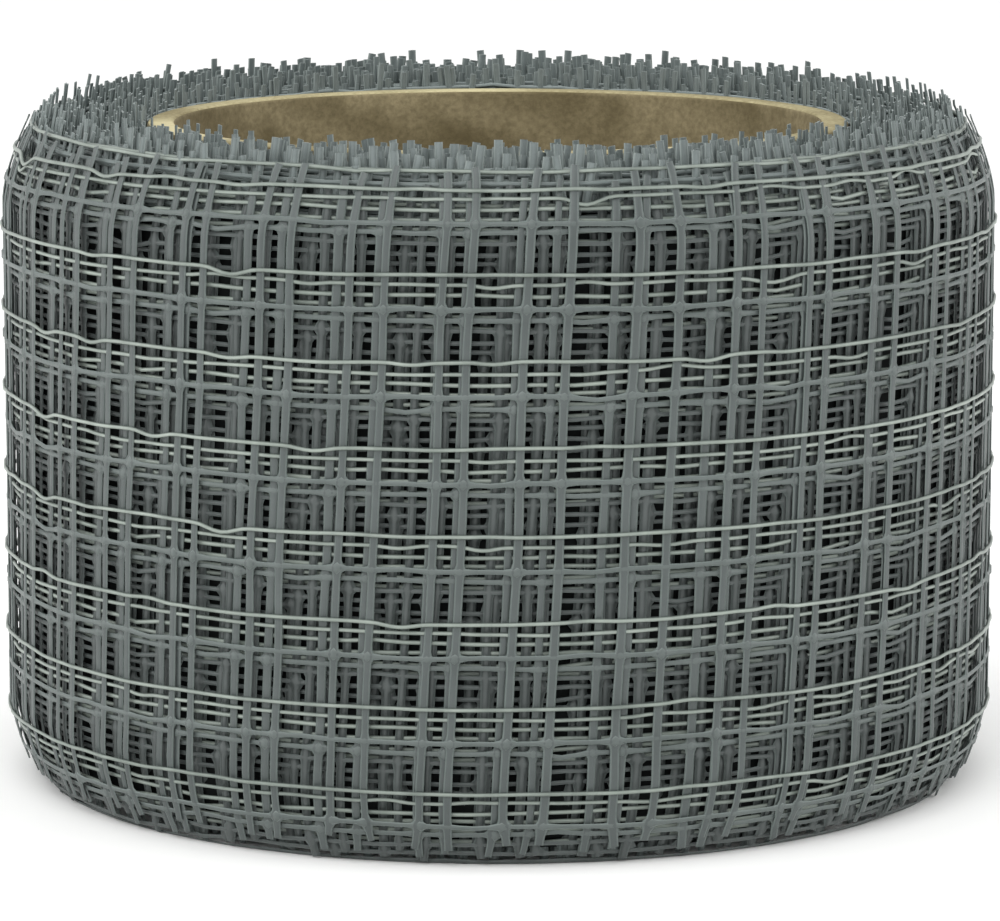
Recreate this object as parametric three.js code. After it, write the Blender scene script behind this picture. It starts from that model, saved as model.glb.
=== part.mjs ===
// Roll of open-mesh glass joint tape on a paper core, standing on its end.
// Millimetres, +Z up along the roll's axis, the floor at z = 0.

import * as THREE from 'three';

// the tape and how it is wound
const tapeWidth = 50.8;       // the height of the roll as it stands
const turnPitch = 0.2265;     // two crossing glass yarns pressed together under winding tension
const turnCount = 49;
const shoulderDepth = 2.3;    // how far the last turns draw in at their free edges
const shoulderHeight = 5.2;   // over this much of the tape's width

// the paper tube
const boreRadius = 24.6;
const coreWall = 2.1;
const coreLength = 50;        // a little short of the tape, so that the cut yarns stand past it
const coreEase = 0.3;         // softened edges of the cut tube

// the turns that show on both ends
const ringCount = 6;
const ringWidth = 0.6;
const ringDepth = 0.4;

const runningGap = 0.3;       // between the tube and the first turn
const segments = 64;
const shoulderSteps = 6;

const coreRadius = boreRadius + coreWall;
const innerRadius = coreRadius + runningGap;
const outerRadius = innerRadius + turnPitch * turnCount;
const landRadius = outerRadius - shoulderDepth;

// a lathe turns about Y, so the body is laid over to stand along Z
function turned(name, profile, material) {
  const geometry = new THREE.LatheGeometry(profile, segments);
  geometry.rotateX(Math.PI / 2);
  const mesh = new THREE.Mesh(geometry, material);
  mesh.name = name;
  return mesh;
}

// radius and height pairs along one end face, from the bore side out to the shoulder
function endFace() {
  const points = [[innerRadius, 0]];
  const step = (landRadius - innerRadius) / (ringCount + 1);
  for (let ring = 1; ring <= ringCount; ring += 1) {
    const middle = innerRadius + step * ring;
    points.push([middle - ringWidth / 2, 0]);
    points.push([middle, ringDepth]);
    points.push([middle + ringWidth / 2, 0]);
  }
  for (let i = 0; i <= shoulderSteps; i += 1) {
    const turn = (Math.PI / 2) * (i / shoulderSteps);
    points.push([
      landRadius + shoulderDepth * Math.sin(turn),
      shoulderHeight * (1 - Math.cos(turn)),
    ]);
  }
  return points;
}

// the tube's section, closed on itself
function coreProfile() {
  const inside = boreRadius;
  const outside = coreRadius;
  return [
    [inside + coreEase, 0],
    [outside - coreEase, 0],
    [outside, coreEase],
    [outside, coreLength - coreEase],
    [outside - coreEase, coreLength],
    [inside + coreEase, coreLength],
    [inside, coreLength - coreEase],
    [inside, coreEase],
    [inside + coreEase, 0],
  ].map(([radius, height]) => new THREE.Vector2(radius, height));
}

// the wound tape's section: the lower face, then its mirror image, closed on itself
function rollProfile() {
  const lower = endFace();
  const upper = lower.map(([radius, height]) => [radius, tapeWidth - height]).reverse();
  return [...lower, ...upper, lower[0]].map(
    ([radius, height]) => new THREE.Vector2(radius, height),
  );
}

const paperboard = new THREE.MeshStandardMaterial({
  color: 0xa8946a,
  roughness: 0.9,
  metalness: 0,
});

const glassYarn = new THREE.MeshStandardMaterial({
  color: 0x7e8784,
  roughness: 0.55,
  metalness: 0,
});

const group = new THREE.Group();
group.name = 'joint_tape_roll';
group.add(turned('cardboard_core', coreProfile(), paperboard));
group.add(turned('mesh_tape_roll', rollProfile(), glassYarn));

export default group;
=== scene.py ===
import math
import bmesh
import bpy
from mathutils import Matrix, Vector


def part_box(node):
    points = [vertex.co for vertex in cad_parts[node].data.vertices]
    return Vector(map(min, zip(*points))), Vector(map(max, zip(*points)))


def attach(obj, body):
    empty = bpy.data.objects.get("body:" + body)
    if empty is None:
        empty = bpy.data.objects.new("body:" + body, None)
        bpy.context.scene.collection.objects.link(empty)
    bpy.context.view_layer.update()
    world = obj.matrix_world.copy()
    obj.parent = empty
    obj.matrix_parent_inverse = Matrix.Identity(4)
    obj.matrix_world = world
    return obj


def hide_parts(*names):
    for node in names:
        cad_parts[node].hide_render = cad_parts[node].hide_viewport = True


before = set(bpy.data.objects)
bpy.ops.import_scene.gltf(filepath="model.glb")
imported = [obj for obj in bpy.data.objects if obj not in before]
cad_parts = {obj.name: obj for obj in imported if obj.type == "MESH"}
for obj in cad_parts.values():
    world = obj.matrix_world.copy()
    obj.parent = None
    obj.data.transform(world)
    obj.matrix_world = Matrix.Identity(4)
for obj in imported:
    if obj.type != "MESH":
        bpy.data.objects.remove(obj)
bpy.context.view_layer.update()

mm = 0.001
turn = 2 * math.pi
maths = "ShaderNodeMath"

# the sizes that the solids give
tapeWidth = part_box("mesh_tape_roll")[1][2]
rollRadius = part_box("mesh_tape_roll")[1][0]
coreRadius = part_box("cardboard_core")[1][0]
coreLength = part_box("cardboard_core")[1][2]

# the camera: a long lens, a little above the roll's rim
view = {
    "elevation": math.radians(9.05),
    "distance": 409.6 * mm,
    "aimHeight": 23.6 * mm,
    "aside": 0.17 * mm,
    "lens": 191.3,
    "sensor": 36.0,
}

camera = bpy.data.objects.new("camera", bpy.data.cameras.new("camera"))
bpy.context.scene.collection.objects.link(camera)
camera.data.lens = view["lens"]
camera.data.sensor_width = view["sensor"]
camera.data.clip_start = 0.01
camera.data.dof.use_dof = False
camera.location = (
    view["aside"],
    -view["distance"] * math.cos(view["elevation"]),
    view["aimHeight"] + view["distance"] * math.sin(view["elevation"]),
)
aim = Vector((view["aside"], 0, view["aimHeight"])) - camera.location
camera.rotation_euler = aim.to_track_quat("-Z", "Y").to_euler()
bpy.context.scene.camera = camera
bpy.context.scene.view_settings.view_transform = "Standard"
print("camera set")


# sRGB hex to the linear colour that a socket wants
def colour(hexCode):
    parts = [int(hexCode[i:i + 2], 16) / 255 for i in (1, 3, 5)]
    return [p / 12.92 if p <= 0.04045 else ((p + 0.055) / 1.055) ** 2.4 for p in parts] + [1.0]


# one node with its settings, where a lone word is its operation, and its inputs by name or in order;
# an input takes a value, a socket, or a node's first output
def addNode(tree, kind, settings=None, inputs=None):
    node = tree.nodes.new(kind)
    if isinstance(settings, str):
        settings = {"operation": settings}
    if isinstance(inputs, list):
        inputs = dict(enumerate(inputs))
    for name, value in (settings or {}).items():
        setattr(node, name, value)
    for key, value in (inputs or {}).items():
        if isinstance(value, bpy.types.Node):
            value = value.outputs[0]
        if isinstance(value, bpy.types.NodeSocket):
            tree.links.new(value, node.inputs[key])
        else:
            node.inputs[key].default_value = value
    return node


# an empty tree with named inputs, first those that aren't sizes; whole numbers make
# whole-number inputs
def newTree(name, sizes, others=()):
    tree = bpy.data.node_groups.new(name, "GeometryNodeTree")
    for other in others:
        tree.interface.new_socket(other, in_out="INPUT", socket_type="NodeSocket" + other)
    for label, value in sizes.items():
        kind = "NodeSocketInt" if isinstance(value, int) else "NodeSocketFloat"
        socket = tree.interface.new_socket(label, in_out="INPUT", socket_type=kind)
        socket.default_value = value
    given = tree.nodes.new("NodeGroupInput")
    return tree, given.outputs


def closeTree(tree, result, label, kind="NodeSocketFloat"):
    tree.interface.new_socket(label, in_out="OUTPUT", socket_type=kind)
    addNode(tree, "NodeGroupOutput", inputs=[result])


# a tree that makes a piece ends in a plain mesh with the piece's material
def closeShapeTree(tree, given, shape):
    shape = addNode(tree, "GeometryNodeRealizeInstances", inputs=[shape])
    shape = addNode(tree, "GeometryNodeSetMaterial",
                    inputs={"Geometry": shape, "Material": given["Material"]})
    closeTree(tree, shape, "Geometry", "NodeSocketGeometry")


# runs a list of trees with their values, one after another, and keeps the plain mesh
def makePiece(name, steps, material):
    mesh = bpy.data.meshes.new(name + "_start")
    maker = bpy.data.objects.new(name + "_start", mesh)
    bpy.context.scene.collection.objects.link(maker)
    for tree, values in steps:
        modifier = maker.modifiers.new(tree.name, "NODES")
        modifier.node_group = tree
        for item in tree.interface.items_tree:
            if item.in_out == "INPUT" and item.name in values:
                modifier[item.identifier] = values[item.name]
            if item.in_out == "INPUT" and item.socket_type == "NodeSocketMaterial":
                modifier[item.identifier] = material
    seen = maker.evaluated_get(bpy.context.evaluated_depsgraph_get())
    result = bpy.data.meshes.new_from_object(seen)
    bpy.data.objects.remove(maker)
    bpy.data.meshes.remove(mesh)
    result.name = name
    result.materials.clear()
    result.materials.append(material)
    piece = bpy.data.objects.new(name, result)
    bpy.context.scene.collection.objects.link(piece)
    result.calc_loop_triangles()
    print(name, len(result.loop_triangles), "triangles")
    return piece


# how the tape lies on the roll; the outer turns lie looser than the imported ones
winding = {
    "Radius": rollRadius - 0.17 * mm,
    "Turn pitch": 0.28 * mm,
    "Inner radius": coreRadius + 0.3 * mm,
    "Start angle": math.radians(150),
    "Width": tapeWidth,
    "Shoulder depth": 2.0 * mm,
    "Shoulder height": 6.5 * mm,
    "Edge dip": 0.2,
    "Dish": 0.0,
    "Lean": 0.045,
    "Drift": 0.5 * mm,
    "Drift scale": 70.0,
    "Traverse": 0.0,
    "Traverse turns": 8.3,
    "Creep swing": -0.5 * mm,
    "Slip": 4.0 * mm,
    "Slip scale": 40.0,
}

# how the cross yarns are spaced: in loose pairs that come back nearly in place at every turn
spacing = {
    "perTurn": 70,
    "creep": 0.74 * mm,
    "pairing": 0.25,
    "wander": 0.09,
    "seed": 11,
}
yarnStep = (turn * winding["Radius"] + spacing["creep"]) / spacing["perTurn"]


# the place of one cross yarn along the unwound tape
def placeTree():
    tree, given = newTree("placeOfCrossYarn", {
        "Number": 0.0,
        "Step": yarnStep,
        "Pairing": spacing["pairing"],
        "Wander": spacing["wander"],
        "Period": float(spacing["perTurn"]),
        "Seed": spacing["seed"],
    })
    slot = addNode(tree, maths, "FLOORED_MODULO", [given["Number"], given["Period"]])
    side = addNode(tree, maths, "FLOORED_MODULO", [given["Number"], 2.0])
    side = addNode(tree, maths, "MULTIPLY_ADD", [side, 2.0, -1.0])
    apart = addNode(tree, "FunctionNodeRandomValue", {"data_type": "FLOAT"},
                    {2: 0.25, 3: 1.0, "ID": slot, "Seed": given["Seed"]})
    apart = addNode(tree, maths, "MULTIPLY", [apart.outputs[1], given["Pairing"]])
    apart = addNode(tree, maths, "MULTIPLY", [apart, side])
    secondSeed = addNode(tree, maths, "ADD", [given["Seed"], 1.0])
    drift = addNode(tree, "FunctionNodeRandomValue", {"data_type": "FLOAT"},
                    {2: -1.0, 3: 1.0, "ID": given["Number"], "Seed": secondSeed})
    drift = addNode(tree, maths, "MULTIPLY_ADD", [drift.outputs[1], given["Wander"], apart])
    place = addNode(tree, maths, "ADD", [given["Number"], drift])
    place = addNode(tree, maths, "MULTIPLY", [place, given["Step"]])
    place = addNode(tree, maths, "MULTIPLY", [place, -1.0])
    closeTree(tree, place, "Place")
    return tree


# how far the coating fills the corners of one crossing: hardly in some, fully in others
def bondTree():
    tree, given = newTree("bondOfCrossing", {"Number": 0.0, "Row": 0.0, "Seed": 31})
    key = addNode(tree, maths, "MULTIPLY_ADD", [given["Number"], 32.0, given["Row"]])
    key = addNode(tree, maths, "ADD", [key, 0.5])
    share = addNode(tree, "FunctionNodeRandomValue", {"data_type": "FLOAT"},
                    {2: 0.1, 3: 1.4, "ID": key, "Seed": given["Seed"]})
    closeTree(tree, share.outputs[1], "Share")
    return tree


# winds the flat tape, x along it, y across it and z away from it, round the core
def windTree():
    tree, given = newTree("windRoundCore", winding, ["Geometry", "Material"])
    place = addNode(tree, "GeometryNodeInputPosition")
    flat = addNode(tree, "ShaderNodeSeparateXYZ", inputs=[place])
    middle = addNode(tree, maths, "MULTIPLY_ADD", [given["Width"], -0.5, flat.outputs[1]])
    away = addNode(tree, maths, "ABSOLUTE", [middle])

    # the cross yarns lean a little, and drift together
    noise = addNode(tree, "ShaderNodeTexNoise", {"noise_dimensions": "2D"},
                    {"Vector": place, "Scale": given["Drift scale"], "Detail": 1.0})
    shift = addNode(tree, "ShaderNodeSeparateXYZ", inputs=[noise.outputs[1]])
    driftX = addNode(tree, maths, "SUBTRACT", [shift.outputs[0], 0.5])
    driftY = addNode(tree, maths, "SUBTRACT", [shift.outputs[1], 0.5])
    along = addNode(tree, maths, "MULTIPLY_ADD", [middle, given["Lean"], flat.outputs[0]])
    along = addNode(tree, maths, "MULTIPLY_ADD", [driftX, given["Drift"], along])
    slip = addNode(tree, "ShaderNodeTexNoise", {"noise_dimensions": "1D"},
                   {"W": flat.outputs[0], "Scale": given["Slip scale"], "Detail": 0.0})
    slip = addNode(tree, maths, "SUBTRACT", [slip, 0.5])
    along = addNode(tree, maths, "MULTIPLY_ADD", [slip, given["Slip"], along])
    high = addNode(tree, maths, "MULTIPLY_ADD", [driftY, given["Drift"], flat.outputs[1]])

    # deeper turns creep back on one side and forth on the other, so no two lie quite in line
    angle = addNode(tree, maths, "DIVIDE", [along, given["Radius"]])
    turns = addNode(tree, maths, "DIVIDE", [angle, turn])
    side = addNode(tree, maths, "ADD", [angle, given["Start angle"]])
    side = addNode(tree, maths, "COSINE", [side])
    side = addNode(tree, maths, "MULTIPLY", [side, given["Creep swing"]])
    along = addNode(tree, maths, "MULTIPLY_ADD", [side, turns, along])
    angle = addNode(tree, maths, "DIVIDE", [along, given["Radius"]])

    # the tape wanders to and fro as it is wound
    sway = addNode(tree, maths, "SINE", [addNode(tree, maths, "DIVIDE", [angle, given["Traverse turns"]])])
    high = addNode(tree, maths, "MULTIPLY_ADD", [sway, given["Traverse"], high])
    high = addNode(tree, maths, "MAXIMUM", [high, 0.05 * mm])

    # the radius grows turn by turn, and the free edges draw in
    radius = addNode(tree, maths, "MULTIPLY_ADD", [turns, given["Turn pitch"], given["Radius"]])
    radius = addNode(tree, maths, "ADD", [radius, flat.outputs[2]])
    straight = addNode(tree, maths, "MULTIPLY", [given["Width"], 0.5])
    straight = addNode(tree, maths, "SUBTRACT", [straight, given["Shoulder height"]])
    over = addNode(tree, maths, "SUBTRACT", [away, straight])
    over = addNode(tree, maths, {"operation": "DIVIDE", "use_clamp": True},
                   [over, given["Shoulder height"]])
    fall = addNode(tree, maths, "POWER", [over, 1.5])
    fall = addNode(tree, maths, "MULTIPLY", [fall, given["Shoulder depth"]])
    build = addNode(tree, maths, "SUBTRACT", [given["Radius"], given["Inner radius"]])
    share = addNode(tree, maths, "DIVIDE", [fall, build])
    depth = addNode(tree, maths, "SUBTRACT", [radius, given["Inner radius"]])
    share = addNode(tree, maths, "MULTIPLY", [share, depth])
    radius = addNode(tree, maths, "SUBTRACT", [radius, share])

    # the bent upper edge sits a little lower, and an end face may rise towards its outer turns
    upper = addNode(tree, maths, "GREATER_THAN", [middle, 0.0])
    dip = addNode(tree, maths, "MULTIPLY", [fall, given["Edge dip"]])
    dip = addNode(tree, maths, "MULTIPLY", [dip, upper])
    high = addNode(tree, maths, "SUBTRACT", [high, dip])
    outward = addNode(tree, maths, "DIVIDE", [depth, build])
    high = addNode(tree, maths, "MULTIPLY_ADD", [outward, given["Dish"], high])

    angle = addNode(tree, maths, "ADD", [angle, given["Start angle"]])
    acrossX = addNode(tree, maths, "MULTIPLY", [addNode(tree, maths, "COSINE", [angle]), radius])
    acrossY = addNode(tree, maths, "MULTIPLY", [addNode(tree, maths, "SINE", [angle]), radius])
    wound = addNode(tree, "ShaderNodeCombineXYZ", inputs=[acrossX, acrossY, high])
    result = addNode(tree, "GeometryNodeSetPosition",
                     inputs={"Geometry": given["Geometry"], "Position": wound})
    closeShapeTree(tree, given, addNode(tree, "GeometryNodeSetShadeSmooth", inputs=[result]))
    return tree


# gives the yarns their oval section, and marks how near a point is to the section's edge, which the glass
# shader uses for painted edge light
def closeYarns(tree, given, yarns, girth):
    yarns = addNode(tree, "GeometryNodeSetCurveNormal", {"mode": "Z_UP"}, {"Curve": yarns})
    circle = addNode(tree, "GeometryNodeCurvePrimitiveCircle",
                     inputs={"Resolution": given["Sides"], "Radius": given["Half width"]})
    place = addNode(tree, "GeometryNodeInputPosition")
    across = addNode(tree, "ShaderNodeSeparateXYZ", inputs=[place])
    across = addNode(tree, maths, "ABSOLUTE", [across])
    across = addNode(tree, maths, "DIVIDE", [across, given["Half width"]])
    circle = addNode(tree, "GeometryNodeStoreNamedAttribute", {"data_type": "FLOAT"},
                     {"Geometry": circle, "Name": "edge", "Value": across})
    oval = addNode(tree, "ShaderNodeCombineXYZ", inputs=[1.0, given["Flatness"], 1.0])
    section = addNode(tree, "GeometryNodeTransform", inputs={"Geometry": circle, "Scale": oval})
    tube = addNode(tree, "GeometryNodeCurveToMesh", inputs={
        "Curve": yarns, "Profile Curve": section, "Scale": girth, "Fill Caps": True})
    closeShapeTree(tree, given, tube)


# where the long yarns lie across the tape: in pairs of one upper and one bonded yarn
rowPlaces = {
    "rowStep": 6.157 * mm,
    "upperStart": 49.3 * mm,
    "bondedBelow": 2.48 * mm,
    "risePerTurn": 0.78 * mm,
}

# the long yarns: the upper ones are round and pass over the cross yarns, the others are bonded
longYarn = {
    "Rows": 8,
    "Row start": rowPlaces["upperStart"],
    "Row step": rowPlaces["rowStep"],
    "Rise per turn": rowPlaces["risePerTurn"],
    "First window": 0,
    "Windows": 140,
    "Points per window": 8,
    "Crowding": 0.0,
    "Sides": 6,
    "Half width": 0.15 * mm,
    "Flatness": 0.9,
    "Flare": 0.0,
    "Flare reach": 0.4 * mm,
    "Lift": 0.16 * mm,
    "Dip": 0.05 * mm,
    "Sag": 0.9 * mm,
    "Edge sag": 0.8,
    "Sags from": 0.9,
    "Tilt": 0.0,
    "Start angle": winding["Start angle"],
    "Reference radius": winding["Radius"],
    "Step": yarnStep,
    "Period": float(spacing["perTurn"]),
    "Seed": 5,
}


def longYarnTree():
    tree, given = newTree("longYarns", longYarn, ["Material"])
    count = addNode(tree, maths, "MULTIPLY_ADD", [given["Windows"], given["Points per window"], 1.0])
    line = addNode(tree, "GeometryNodeCurvePrimitiveLine")
    line = addNode(tree, "GeometryNodeResampleCurve", {"mode": "COUNT"},
                   {"Curve": line, "Count": count})
    rows = addNode(tree, "GeometryNodeDuplicateElements", {"domain": "SPLINE"},
                   {"Geometry": line, "Amount": given["Rows"]})

    # which row, which window between two cross yarns, and how far across the window
    index = addNode(tree, "GeometryNodeInputIndex")
    row = addNode(tree, maths, "FLOOR", [addNode(tree, maths, "DIVIDE", [index, count])])
    point = addNode(tree, maths, "FLOORED_MODULO", [index, count])
    window = addNode(tree, maths, "DIVIDE", [point, given["Points per window"]])
    inWindow = addNode(tree, maths, "FRACT", [window])
    window = addNode(tree, maths, "FLOOR", [window])
    window = addNode(tree, maths, "ADD", [window, given["First window"]])
    crowd = addNode(tree, maths, "SINE", [addNode(tree, maths, "MULTIPLY", [inWindow, turn])])
    crowd = addNode(tree, maths, "MULTIPLY", [crowd, given["Crowding"]])
    inWindow = addNode(tree, maths, "MULTIPLY_ADD", [crowd, -1 / turn, inWindow])
    places = []
    for further in (0.0, 1.0):
        number = addNode(tree, maths, "ADD", [window, further])
        places.append(addNode(tree, "GeometryNodeGroup", {"node_tree": crossPlace}, {
            "Number": number, "Step": given["Step"], "Period": given["Period"]}))
    gap = addNode(tree, maths, "SUBTRACT", [places[0], places[1]])
    along = addNode(tree, maths, "MULTIPLY", [gap, inWindow])
    along = addNode(tree, maths, "SUBTRACT", [places[0], along])

    # a yarn hangs down a little in the wide windows: hardly in most, far in a few
    arch = addNode(tree, maths, "SINE", [addNode(tree, maths, "MULTIPLY", [inWindow, math.pi])])
    arch = addNode(tree, maths, "MULTIPLY", [arch, arch])
    wide = addNode(tree, maths, "DIVIDE", [gap, given["Step"]])
    wide = addNode(tree, maths, "SUBTRACT", [wide, given["Sags from"]])
    wide = addNode(tree, maths, "MAXIMUM", [wide, 0.0])
    key = addNode(tree, maths, "MULTIPLY_ADD", [row, 977.0, window])
    slack = addNode(tree, "FunctionNodeRandomValue", {"data_type": "FLOAT"},
                    {2: -0.8, 3: 1.0, "ID": key, "Seed": given["Seed"]})
    slack = addNode(tree, maths, "POWER", [slack.outputs[1], 3.0])
    sag = addNode(tree, maths, "MULTIPLY", [arch, wide])
    sag = addNode(tree, maths, "MULTIPLY", [sag, slack])
    sag = addNode(tree, maths, "MULTIPLY", [sag, given["Sag"]])
    edgeRow = addNode(tree, maths, "LESS_THAN", [row, 0.5])
    edgeRow = addNode(tree, maths, "MULTIPLY_ADD", [edgeRow, given["Edge sag"], 1.0])
    sag = addNode(tree, maths, "MULTIPLY", [sag, edgeRow])
    high = addNode(tree, maths, "MULTIPLY", [row, given["Row step"]])
    high = addNode(tree, maths, "SUBTRACT", [given["Row start"], high])
    lap = addNode(tree, maths, "MULTIPLY", [given["Reference radius"], turn])
    rise = addNode(tree, maths, "DIVIDE", [along, lap])
    high = addNode(tree, maths, "MULTIPLY_ADD", [rise, given["Rise per turn"], high])
    high = addNode(tree, maths, "SUBTRACT", [high, sag])
    angle = addNode(tree, maths, "DIVIDE", [along, given["Reference radius"]])
    tilt = addNode(tree, maths, "SINE", [addNode(tree, maths, "ADD", [angle, given["Start angle"]])])
    high = addNode(tree, maths, "MULTIPLY_ADD", [tilt, given["Tilt"], high])
    lift = addNode(tree, maths, "MULTIPLY", [arch, given["Dip"]])
    lift = addNode(tree, maths, "SUBTRACT", [given["Lift"], lift])
    laid = addNode(tree, "ShaderNodeCombineXYZ", inputs=[along, high, lift])
    rows = addNode(tree, "GeometryNodeSetPosition", inputs={"Geometry": rows, "Position": laid})

    # the coating webs the corners, so a bonded yarn widens towards each crossing
    near = addNode(tree, maths, "SUBTRACT", [1.0, inWindow])
    near = addNode(tree, maths, "MINIMUM", [near, inWindow])
    near = addNode(tree, maths, "MULTIPLY", [near, gap])
    near = addNode(tree, maths, "DIVIDE", [near, given["Flare reach"]])
    near = addNode(tree, maths, "MULTIPLY", [near, near])
    near = addNode(tree, maths, "EXPONENT", [addNode(tree, maths, "MULTIPLY", [near, -1.0])])
    number = addNode(tree, maths, "ADD", [window, inWindow])
    number = addNode(tree, maths, "ROUND", [number])
    share = addNode(tree, "GeometryNodeGroup", {"node_tree": crossBond},
                    {"Number": number, "Row": row})
    near = addNode(tree, maths, "MULTIPLY", [near, share])
    girth = addNode(tree, maths, "MULTIPLY_ADD", [near, given["Flare"], 1.0])
    closeYarns(tree, given, rows, girth)
    return tree


# the yarns across the tape: flat ribbons with cut, ragged ends
crossYarn = {
    "Yarns": 140,
    "First yarn": 0,
    "Points": 90,
    "Sides": 6,
    "Low end": 2.2 * mm,
    "Lowest end": 0.7 * mm,
    "High end": 51.3 * mm,
    "Ends per turn": rowPlaces["risePerTurn"],
    "High end tilt": 0.6 * mm,
    "Start angle": winding["Start angle"],
    "Ragged": 0.35 * mm,
    "Crowding": 0.7,
    "Half width": 0.31 * mm,
    "Flatness": 0.26,
    "Flare": 1.0,
    "Flare reach": 0.27 * mm,
    "Bond start": rowPlaces["upperStart"] - rowPlaces["bondedBelow"],
    "Bond step": rowPlaces["rowStep"],
    "Rise per turn": rowPlaces["risePerTurn"],
    "Reference radius": winding["Radius"],
    "Tip lean": 0.5 * mm,
    "Tip power": 30.0,
    "Lift": 0.0,
    "Step": yarnStep,
    "Period": float(spacing["perTurn"]),
    "Seed": 21,
}


def crossYarnTree():
    tree, given = newTree("crossYarns", crossYarn, ["Material"])
    line = addNode(tree, "GeometryNodeCurvePrimitiveLine")
    line = addNode(tree, "GeometryNodeResampleCurve", {"mode": "COUNT"},
                   {"Curve": line, "Count": given["Points"]})
    yarns = addNode(tree, "GeometryNodeDuplicateElements", {"domain": "SPLINE"},
                    {"Geometry": line, "Amount": given["Yarns"]})
    index = addNode(tree, "GeometryNodeInputIndex")
    yarn = addNode(tree, maths, "FLOOR", [addNode(tree, maths, "DIVIDE", [index, given["Points"]])])
    point = addNode(tree, maths, "FLOORED_MODULO", [index, given["Points"]])
    last = addNode(tree, maths, "SUBTRACT", [given["Points"], 1.0])
    up = addNode(tree, maths, "DIVIDE", [point, last])
    number = addNode(tree, maths, "ADD", [yarn, given["First yarn"]])
    place = addNode(tree, "GeometryNodeGroup", {"node_tree": crossPlace}, {
        "Number": number, "Step": given["Step"], "Period": given["Period"]})
    lap = addNode(tree, maths, "MULTIPLY", [given["Reference radius"], turn])
    turns = addNode(tree, maths, "DIVIDE", [place, lap])

    # where this yarn was cut, and which way its ends lean
    cuts = []
    for more in range(5):
        seed = addNode(tree, maths, "ADD", [given["Seed"], float(more)])
        cuts.append(addNode(tree, "FunctionNodeRandomValue", {"data_type": "FLOAT"},
                            {2: -1.0, 3: 1.0, "ID": number, "Seed": seed}).outputs[1])
    climb = addNode(tree, maths, "MULTIPLY", [turns, given["Ends per turn"]])
    low = addNode(tree, maths, "ADD", [climb, given["Low end"]])
    low = addNode(tree, maths, "MAXIMUM", [low, given["Lowest end"]])
    low = addNode(tree, maths, "MULTIPLY_ADD", [cuts[0], given["Ragged"], low])
    high = addNode(tree, maths, "MULTIPLY_ADD", [cuts[1], given["Ragged"], given["High end"]])
    high = addNode(tree, maths, "ADD", [high, climb])
    angle = addNode(tree, maths, "DIVIDE", [place, given["Reference radius"]])
    tilt = addNode(tree, maths, "SINE", [addNode(tree, maths, "ADD", [angle, given["Start angle"]])])
    high = addNode(tree, maths, "MULTIPLY_ADD", [tilt, given["High end tilt"], high])
    span = addNode(tree, maths, "SUBTRACT", [high, low])
    height = addNode(tree, maths, "MULTIPLY_ADD", [span, up, low])

    # points crowd where a bonded yarn crosses, for the webbed corners, but not at the cut ends
    bond = addNode(tree, maths, "MULTIPLY_ADD", [turns, given["Rise per turn"], given["Bond start"]])
    phase = addNode(tree, maths, "SUBTRACT", [height, bond])
    phase = addNode(tree, maths, "DIVIDE", [phase, given["Bond step"]])
    crowd = addNode(tree, maths, "SINE", [addNode(tree, maths, "MULTIPLY", [phase, turn])])
    crowd = addNode(tree, maths, "MULTIPLY", [crowd, given["Crowding"]])
    crowd = addNode(tree, maths, "MULTIPLY", [crowd, given["Bond step"]])
    crowd = addNode(tree, maths, "MULTIPLY", [crowd, -1 / turn])
    ends = addNode(tree, maths, "SUBTRACT", [1.0, up])
    ends = addNode(tree, maths, "MINIMUM", [ends, up])
    ends = addNode(tree, maths, {"operation": "MULTIPLY", "use_clamp": True}, [ends, 25.0])
    height = addNode(tree, maths, "MULTIPLY_ADD", [crowd, ends, height])

    # the free tips lean at random, the last two millimetres most
    topLean = addNode(tree, maths, "POWER", [up, given["Tip power"]])
    down = addNode(tree, maths, "SUBTRACT", [1.0, up])
    lowLean = addNode(tree, maths, "POWER", [down, given["Tip power"]])
    lean = addNode(tree, maths, "MULTIPLY", [topLean, cuts[2]])
    lean = addNode(tree, maths, "MULTIPLY_ADD", [lowLean, cuts[3], lean])
    along = addNode(tree, maths, "MULTIPLY_ADD", [lean, given["Tip lean"], place])
    tipOut = addNode(tree, maths, "MULTIPLY", [topLean, cuts[4]])
    tipOut = addNode(tree, maths, "MULTIPLY", [tipOut, given["Tip lean"]])
    lift = addNode(tree, maths, "MULTIPLY_ADD", [tipOut, 0.3, given["Lift"]])
    laid = addNode(tree, "ShaderNodeCombineXYZ", inputs=[along, height, lift])
    yarns = addNode(tree, "GeometryNodeSetPosition", inputs={"Geometry": yarns, "Position": laid})

    near = addNode(tree, maths, "SUBTRACT", [bond, height])
    near = addNode(tree, maths, "DIVIDE", [near, given["Bond step"]])
    row = addNode(tree, maths, "ROUND", [near])
    near = addNode(tree, maths, "SUBTRACT", [near, row])
    near = addNode(tree, maths, "MULTIPLY", [near, given["Bond step"]])
    near = addNode(tree, maths, "DIVIDE", [near, given["Flare reach"]])
    near = addNode(tree, maths, "MULTIPLY", [near, near])
    near = addNode(tree, maths, "EXPONENT", [addNode(tree, maths, "MULTIPLY", [near, -1.0])])
    share = addNode(tree, "GeometryNodeGroup", {"node_tree": crossBond},
                    {"Number": number, "Row": row})
    near = addNode(tree, maths, "MULTIPLY", [near, share])
    girth = addNode(tree, maths, "MULTIPLY_ADD", [near, given["Flare"], 1.0])
    uneven = addNode(tree, "ShaderNodeTexNoise", {"noise_dimensions": "3D"},
                     {"Vector": laid, "Scale": 260.0, "Detail": 1.0})
    uneven = addNode(tree, maths, "MULTIPLY_ADD", [uneven, 0.3, -0.15])
    girth = addNode(tree, maths, "ADD", [girth, uneven])
    closeYarns(tree, given, yarns, girth)
    return tree
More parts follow.
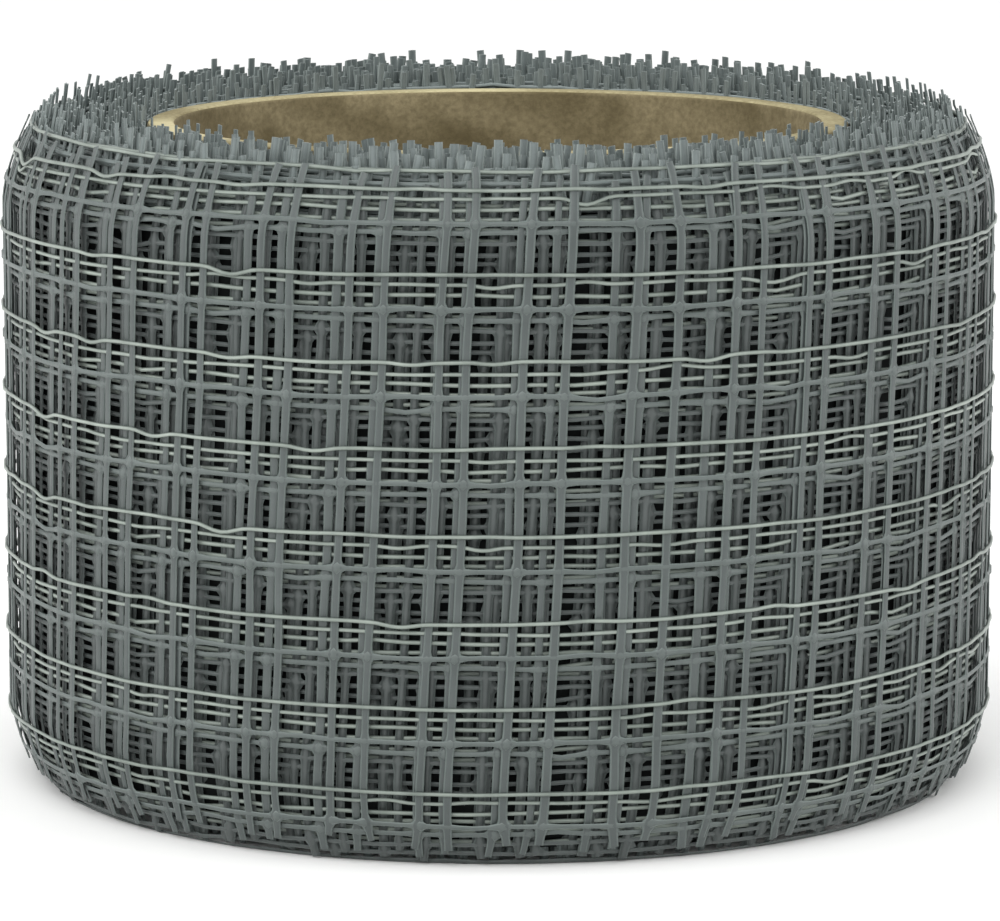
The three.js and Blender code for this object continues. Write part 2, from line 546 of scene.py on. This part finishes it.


# glass filaments in a grey acrylate coating: satin, with a faint grain; the edge colour is painted light,
# a painted highlight along the edges of a flat yarn and painted shade down the sides of a round one
def coatedGlass(name, face, dull, edge, roughness):
    material = bpy.data.materials.new(name)
    material.use_nodes = True
    tree = material.node_tree
    shader = tree.nodes["Principled BSDF"]
    place = addNode(tree, "ShaderNodeTexCoord").outputs["Object"]
    blotch = addNode(tree, "ShaderNodeTexNoise", inputs={
        "Vector": place, "Scale": 1 / (2.2 * mm), "Detail": 4.0})

    # patches a little lighter or darker, about 45 mm along the tape and 5 mm across it
    row = addNode(tree, "ShaderNodeMapping", inputs={
        "Vector": place, "Scale": (22.0, 22.0, 190.0)})
    row = addNode(tree, "ShaderNodeTexNoise", inputs={"Vector": row, "Scale": 1.0, "Detail": 1.0})
    shade = addNode(tree, maths, "ADD", [blotch, row])
    shade = addNode(tree, "ShaderNodeMapRange", inputs={
        "Value": shade, "From Min": 0.65, "From Max": 1.35})
    tone = addNode(tree, "ShaderNodeMix", {"data_type": "RGBA"},
                   {0: shade, 6: colour(dull), 7: colour(face)})
    # painted light: the edge colour is a painted highlight along a flat yarn's edges and painted shade
    # down a round yarn's sides
    across = addNode(tree, "ShaderNodeAttribute", {"attribute_name": "edge"})
    across = addNode(tree, "ShaderNodeMapRange", inputs={
        "Value": across.outputs["Fac"], "From Min": 0.55, "From Max": 0.95})
    tone = addNode(tree, "ShaderNodeMix", {"data_type": "RGBA"},
                   {0: across, 6: tone.outputs[2], 7: colour(edge)})
    grain = addNode(tree, "ShaderNodeTexNoise", inputs={
        "Vector": place, "Scale": 1 / (0.16 * mm), "Detail": 2.0})
    bump = addNode(tree, "ShaderNodeBump", inputs={
        "Height": grain, "Strength": 0.35, "Distance": 0.05 * mm})
    tree.links.new(tone.outputs[2], shader.inputs["Base Color"])
    tree.links.new(bump.outputs[0], shader.inputs["Normal"])
    shader.inputs["Roughness"].default_value = roughness
    shader.inputs["IOR"].default_value = 1.49
    return material


crossPlace = placeTree()
crossBond = bondTree()
wind = windTree()
layLong = longYarnTree()
layCross = crossYarnTree()

# the upper yarns' darker edge colour is painted shade down the sides of a round yarn
upperGlass = coatedGlass("coatedGlassUpper", "#919a92", "#606963", "#5b645e", 0.38)
bondedGlass = coatedGlass("coatedGlassBonded", "#4c5352", "#3f4645", "#747e7b", 0.42)
rowGlass = coatedGlass("coatedGlassRows", "#59615f", "#4a5250", "#7c8683", 0.42)
# painted shade: a darker copy of the coated glass for the deeper turns, which lie in shade
shadedInnerGlass = coatedGlass("coatedGlassInnerShaded", "#494f4e", "#3a403f", "#6b7472", 0.5)
# painted light: a lighter copy of the coated glass for the cut yarns and rings on the roll's end faces
litEndGlass = coatedGlass("litCutGlassEnds", "#6f7877", "#525b5a", "#939d9a", 0.5)

fineTurns = 2
fineWindows = fineTurns * spacing["perTurn"]
bondedStart = rowPlaces["upperStart"] - rowPlaces["bondedBelow"]

tapePieces = []
tapePieces.append(makePiece("upper_long_yarns", [
    (layLong, {"Windows": fineWindows}),
    (wind, {}),
], upperGlass))
tapePieces.append(makePiece("bonded_long_yarns", [
    (layLong, {"Windows": fineWindows, "Row start": bondedStart, "Points per window": 6,
               "Crowding": 0.7, "Half width": 0.175 * mm, "Flatness": 0.45, "Flare": 1.7,
               "Lift": 0.0, "Dip": 0.0, "Sag": 0.7 * mm, "Edge sag": 0.0,
               "Seed": 8, "Flare reach": 0.29 * mm}),
    (wind, {}),
], rowGlass))
tapePieces.append(makePiece("cross_yarns", [
    (layCross, {"Yarns": fineWindows + 1}),
    (wind, {}),
], bondedGlass))

# the turns seen through the outer ones, plainer and a little fatter; their bonded and cross yarns take a
# darker copy of the coated glass, which is painted shade
under = {
    "turns": 4,
    "upperLift": 0.14 * mm,
    "longHalfWidth": 0.17 * mm,
    "crossHalfWidth": 0.33 * mm,
    "sag": 0.7 * mm,
    "ragged": 0.5 * mm,
}
underWindows = under["turns"] * spacing["perTurn"]
for kind, start, lift, glass in (
    ("upper", rowPlaces["upperStart"], under["upperLift"], upperGlass),
    ("bonded", bondedStart, 0.0, shadedInnerGlass),
):
    tapePieces.append(makePiece("under_" + kind + "_long_yarns", [
        (layLong, {"Windows": underWindows, "First window": fineWindows, "Row start": start,
                   "Points per window": 4, "Sides": 5, "Half width": under["longHalfWidth"],
                   "Flatness": 0.6, "Lift": lift, "Dip": 0.0, "Sag": under["sag"], "Seed": 13}),
        (wind, {}),
    ], glass))
tapePieces.append(makePiece("under_cross_yarns", [
    (layCross, {"Yarns": underWindows, "First yarn": fineWindows + 1, "Points": 66, "Sides": 4,
                "Half width": under["crossHalfWidth"], "Flatness": 0.3,
                "Ragged": under["ragged"]}),
    (wind, {}),
], shadedInnerGlass))
turnsDone = fineTurns + under["turns"]

# their yarns take the lighter copy of the coated glass, which is painted light
# the imported turns: their cut yarns and last long yarns show on both ends
packed = {
    "turnPitch": 0.2265 * mm,
    "turns": 40,
    "perTurn": 61.6,
    "noRepeat": 997.0,        # a period this long keeps any pattern from coming back
    "traverse": 0.55 * mm,
    "yarnLength": 4.4 * mm,
    "yarnHalfWidth": 0.33 * mm,
    "ragged": 0.65 * mm,
    "tipLean": 0.5 * mm,
    "highTip": 50.45 * mm,
    "dish": 0.7 * mm,         # the outer turns stand this much higher than the inner ones
    "tilt": 0.5 * mm,         # and the back this much higher than the middle
    "lowTip": 0.5 * mm,
    "highRing": 48.9 * mm,
    "lowRing": 4.3 * mm,
    "ringStep": 2.4 * mm,
    "ringHalfWidth": 0.17 * mm,
    "ringLift": 0.1 * mm,
    "ringSag": 0.4 * mm,
    "firstRing": 50.3 * mm,
    "topShoulder": 0.9 * mm,
    "lowShoulder": 2.0 * mm,
}
packedRadius = winding["Radius"] - turnsDone * winding["Turn pitch"]
packedWinding = {
    "Radius": packedRadius,
    "Turn pitch": packed["turnPitch"],
    "Traverse": packed["traverse"],
    "Lean": 0.0,
    "Creep swing": 0.0,
    "Slip": 0.0,
    "Edge dip": 0.0,
}
packedStep = turn * packedRadius / packed["perTurn"]
packedYarns = round(packed["turns"] * packed["perTurn"])
for name, low, ring, rows, tilt, dish, shoulder in (
    ("upper", packed["highTip"] - packed["yarnLength"], packed["highRing"], 2, packed["tilt"],
     packed["dish"], packed["topShoulder"]),
    ("lower", packed["lowTip"], packed["lowRing"], 1, 0.0, 0.0, packed["lowShoulder"]),
):
    packedWinding["Dish"] = dish
    packedWinding["Shoulder depth"] = shoulder
    tapePieces.append(makePiece(name + "_end_cut_yarns", [
        (layCross, {"Yarns": packedYarns, "Points": 4, "Sides": 4, "Crowding": 0.0,
                    "Flare": 0.0, "Half width": packed["yarnHalfWidth"], "Flatness": 0.34,
                    "Low end": low, "High end": low + packed["yarnLength"],
                    "Ends per turn": 0.0, "High end tilt": tilt, "Ragged": packed["ragged"],
                    "Rise per turn": 0.0, "Tip lean": packed["tipLean"], "Tip power": 1.6,
                    "Step": packedStep, "Period": packed["noRepeat"],
                    "Reference radius": packedRadius}),
        (wind, packedWinding),
    ], litEndGlass))
    tapePieces.append(makePiece(name + "_end_long_yarns", [
        (layLong, {"Rows": rows, "Row start": ring, "Row step": packed["ringStep"],
                   "Rise per turn": 0.0, "Tilt": tilt, "Windows": packedYarns,
                   "Points per window": 2, "Sides": 4, "Half width": packed["ringHalfWidth"],
                   "Flatness": 0.7, "Lift": packed["ringLift"], "Dip": 0.0,
                   "Sag": packed["ringSag"], "Step": packedStep,
                   "Period": packed["noRepeat"], "Reference radius": packedRadius}),
        (wind, packedWinding),
    ], litEndGlass))

# beneath the loose turns the tape steps back up the roll, so its first long yarns show on top
tapePieces.append(makePiece("stepped_turn_long_yarns", [
    (layLong, {"Rows": 2, "Row start": packed["firstRing"], "Row step": rowPlaces["bondedBelow"],
               "Rise per turn": 0.0, "Tilt": packed["tilt"], "Windows": 2 * spacing["perTurn"],
               "First window": turnsDone * spacing["perTurn"], "Points per window": 4,
               "Sag": packed["ringSag"], "Edge sag": 0.0}),
    (wind, {"Shoulder depth": packed["topShoulder"]}),
], upperGlass))

for piece in tapePieces:
    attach(piece, "root")
    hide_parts("mesh_tape_roll")


# a body turned about the roll's axis from radius and height pairs, closed on itself
def turnedPiece(name, profile, steps, material):
    body = bmesh.new()
    rings = []
    for step in range(steps):
        angle = turn * step / steps
        rings.append([body.verts.new((r * math.cos(angle), r * math.sin(angle), h)) for r, h in profile])
    for step in range(steps):
        here, there = rings[step], rings[(step + 1) % steps]
        for i in range(len(profile)):
            j = (i + 1) % len(profile)
            body.faces.new((here[i], there[i], there[j], here[j]))
    bmesh.ops.recalc_face_normals(body, faces=body.faces)
    for face in body.faces:
        face.smooth = True
    mesh = bpy.data.meshes.new(name)
    body.to_mesh(mesh)
    body.free()
    mesh.materials.append(material)
    piece = bpy.data.objects.new(name, mesh)
    bpy.context.scene.collection.objects.link(piece)
    print(name, len(mesh.polygons) * 2, "triangles")
    return piece


# the mass of packed turns behind the yarns: near black, as nothing lights it
def packedShade():
    material = bpy.data.materials.new("packedGlassShade")
    material.use_nodes = True
    tree = material.node_tree
    shader = tree.nodes["Principled BSDF"]
    place = addNode(tree, "ShaderNodeTexCoord").outputs["Object"]
    blotch = addNode(tree, "ShaderNodeTexNoise", inputs={
        "Vector": place, "Scale": 1 / (0.9 * mm), "Detail": 3.0})
    tone = addNode(tree, "ShaderNodeMix", {"data_type": "RGBA"},
                   {0: blotch, 6: colour("#090a0a"), 7: colour("#161919")})
    tree.links.new(tone.outputs[2], shader.inputs["Base Color"])
    shader.inputs["Roughness"].default_value = 0.9
    shader.inputs["Specular IOR Level"].default_value = 0.1
    return material


backing = {
    "top": 46.9 * mm,
    "bottom": 1.2 * mm,
    "beneath": 0.1 * mm,
    "shoulder": 1.4 * mm,
    "shoulderHeight": 3.2 * mm,
    "bend": (0.4, 0.35),      # where the shoulder bends, as shares of its depth and height
    "steps": 128,
}
inner = winding["Inner radius"]
outer = packedRadius - backing["beneath"]
bendIn = backing["shoulder"] * backing["bend"][0]
bendUp = backing["shoulderHeight"] * backing["bend"][1]
backingPiece = turnedPiece("packed_turns", [
    (inner, backing["bottom"]),
    (outer - backing["shoulder"], backing["bottom"]),
    (outer - bendIn, backing["bottom"] + bendUp),
    (outer, backing["bottom"] + backing["shoulderHeight"]),
    (outer, backing["top"] - backing["shoulderHeight"]),
    (outer - bendIn, backing["top"] - bendUp),
    (outer - backing["shoulder"], backing["top"]),
    (inner, backing["top"]),
], backing["steps"], packedShade())
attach(backingPiece, "root")
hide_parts("mesh_tape_roll")


# spiral-wound grey-brown chipboard tube: matt, fibrous, with a paler sawn rim and one butt seam
tube = {
    "bore": 24.6 * mm,
    "ease": 0.35 * mm,
    "easeSteps": 4,
    "steps": 256,
    "streaks": 9,             # to a turn
    "seamPitch": 80 * mm,
    "seamAt": math.radians(285),
    "seamWidth": 0.3 * mm,
    "rimDepth": 0.12 * mm,
}


def chipboard():
    material = bpy.data.materials.new("chipboardTube")
    material.use_nodes = True
    tree = material.node_tree
    shader = tree.nodes["Principled BSDF"]
    place = addNode(tree, "ShaderNodeTexCoord").outputs["Object"]
    parts = addNode(tree, "ShaderNodeSeparateXYZ", inputs=[place])
    angle = addNode(tree, maths, "ARCTAN2", [parts.outputs[1], parts.outputs[0]])

    # how far round the spiral a point lies: whole numbers fall on the seam
    around = addNode(tree, maths, "SUBTRACT", [angle, tube["seamAt"]])
    around = addNode(tree, maths, "DIVIDE", [around, turn])
    climb = addNode(tree, maths, "SUBTRACT", [parts.outputs[2], coreLength])
    climb = addNode(tree, maths, "DIVIDE", [climb, tube["seamPitch"]])
    spiral = addNode(tree, maths, "SUBTRACT", [climb, around])
    offSeam = addNode(tree, maths, "PINGPONG", [spiral, 0.5])
    seam = addNode(tree, "ShaderNodeMapRange", inputs={
        "Value": offSeam, "From Min": 0.0, "From Max": tube["seamWidth"] / tube["seamPitch"],
        "To Min": 1.0, "To Max": 0.0})

    # streaks that follow the spiral, and finer fibres
    streakPhase = addNode(tree, maths, "MULTIPLY", [spiral, turn * tube["streaks"]])
    cloud = addNode(tree, "ShaderNodeTexNoise", inputs={
        "Vector": place, "Scale": 1 / (6 * mm), "Detail": 3.0})
    streakPhase = addNode(tree, maths, "MULTIPLY_ADD", [cloud, 9.0, streakPhase])
    streak = addNode(tree, maths, "SINE", [streakPhase])
    streak = addNode(tree, maths, "MULTIPLY_ADD", [streak, 0.2, cloud])
    wall = addNode(tree, "ShaderNodeMix", {"data_type": "RGBA"},
                   {0: streak, 6: colour("#584e34"), 7: colour("#978b6c")})
    speck = addNode(tree, "ShaderNodeTexNoise", inputs={
        "Vector": place, "Scale": 1 / (0.45 * mm), "Detail": 4.0, "Roughness": 0.65})
    speckShare = addNode(tree, "ShaderNodeMapRange", inputs={
        "Value": speck, "From Min": 0.35, "From Max": 0.65, "To Min": 0.0, "To Max": 0.45})
    wall = addNode(tree, "ShaderNodeMix", {"data_type": "RGBA"},
                   {0: speckShare, 6: wall.outputs[2], 7: colour("#463d28")})
    seamShade = addNode(tree, maths, "MULTIPLY", [seam, 0.5])
    wall = addNode(tree, "ShaderNodeMix", {"data_type": "RGBA"},
                   {0: seamShade, 6: wall.outputs[2], 7: colour("#3f3722")})

    rim = addNode(tree, maths, "COMPARE", [parts.outputs[2], coreLength, tube["rimDepth"]])
    worn = addNode(tree, "ShaderNodeTexNoise", inputs={
        "Vector": place, "Scale": 1 / (16 * mm), "Detail": 4.0})
    worn = addNode(tree, maths, "MULTIPLY_ADD", [speck, 0.4, worn])
    worn = addNode(tree, "ShaderNodeMapRange", inputs={
        "Value": worn, "From Min": 0.55, "From Max": 0.85})
    rimTone = addNode(tree, "ShaderNodeMix", {"data_type": "RGBA"},
                      {0: worn, 6: colour("#7a7050"), 7: colour("#bbb28c")})
    tone = addNode(tree, "ShaderNodeMix", {"data_type": "RGBA"},
                   {0: rim, 6: wall.outputs[2], 7: rimTone.outputs[2]})
    relief = addNode(tree, maths, "MULTIPLY_ADD", [seam, -1.5, speck])
    bump = addNode(tree, "ShaderNodeBump", inputs={
        "Height": relief, "Strength": 0.5, "Distance": 0.12 * mm})
    tree.links.new(tone.outputs[2], shader.inputs["Base Color"])
    tree.links.new(bump.outputs[0], shader.inputs["Normal"])
    shader.inputs["Roughness"].default_value = 0.88
    shader.inputs["Specular IOR Level"].default_value = 0.25
    return material


# a ring's four eased corners, walked from the inner lower one
def tubeProfile():
    corners = [(tube["bore"], 0, 180), (coreRadius, 0, 270), (coreRadius, coreLength, 0),
               (tube["bore"], coreLength, 90)]
    points = []
    for radius, height, start in corners:
        towards = 1 if radius == tube["bore"] else -1
        upward = 1 if height == 0 else -1
        centre = (radius + towards * tube["ease"], height + upward * tube["ease"])
        for step in range(tube["easeSteps"] + 1):
            bend = math.radians(start + 90 * step / tube["easeSteps"])
            points.append((centre[0] + tube["ease"] * math.cos(bend),
                           centre[1] + tube["ease"] * math.sin(bend)))
    return points


corePiece = turnedPiece("paper_core", tubeProfile(), tube["steps"], chipboard())
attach(corePiece, "root")
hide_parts("cardboard_core")
print("core made")

# a plain pale floor, and a white world above it
floorHalf = 3.0               # metres
floorMesh = bpy.data.meshes.new("floor")
floorMesh.from_pydata([(-floorHalf, -floorHalf, 0), (floorHalf, -floorHalf, 0),
                       (floorHalf, floorHalf, 0), (-floorHalf, floorHalf, 0)], [], [(0, 1, 2, 3)])
floor = bpy.data.objects.new("floor", floorMesh)
bpy.context.scene.collection.objects.link(floor)
floorPaint = bpy.data.materials.new("palePaper")
floorPaint.use_nodes = True
floorPaint.node_tree.nodes["Principled BSDF"].inputs["Base Color"].default_value = colour("#f7f7f6")
floorPaint.node_tree.nodes["Principled BSDF"].inputs["Roughness"].default_value = 0.9
floorMesh.materials.append(floorPaint)

world = bpy.data.worlds.new("studio")
bpy.context.scene.world = world
world.use_nodes = True
world.node_tree.nodes["Background"].inputs["Color"].default_value = (1, 1, 1, 1)
world.node_tree.nodes["Background"].inputs["Strength"].default_value = 1.0

lights = {
    "frontTop": {"at": (-0.15, -0.55, 0.6), "size": 0.6, "power": 3},
    "left": {"at": (-0.7, -0.1, 0.3), "size": 0.6, "power": 2},
    "right": {"at": (0.7, -0.1, 0.3), "size": 0.6, "power": 2},
}
for name, facts in lights.items():
    lamp = bpy.data.lights.new(name, "AREA")
    lamp.size = facts["size"]
    lamp.energy = facts["power"]
    lampObject = bpy.data.objects.new(name, lamp)
    lampObject.location = facts["at"]
    toRoll = Vector((0, 0, tapeWidth / 2)) - lampObject.location
    lampObject.rotation_euler = toRoll.to_track_quat("-Z", "Y").to_euler()
    bpy.context.scene.collection.objects.link(lampObject)
print("lights set")
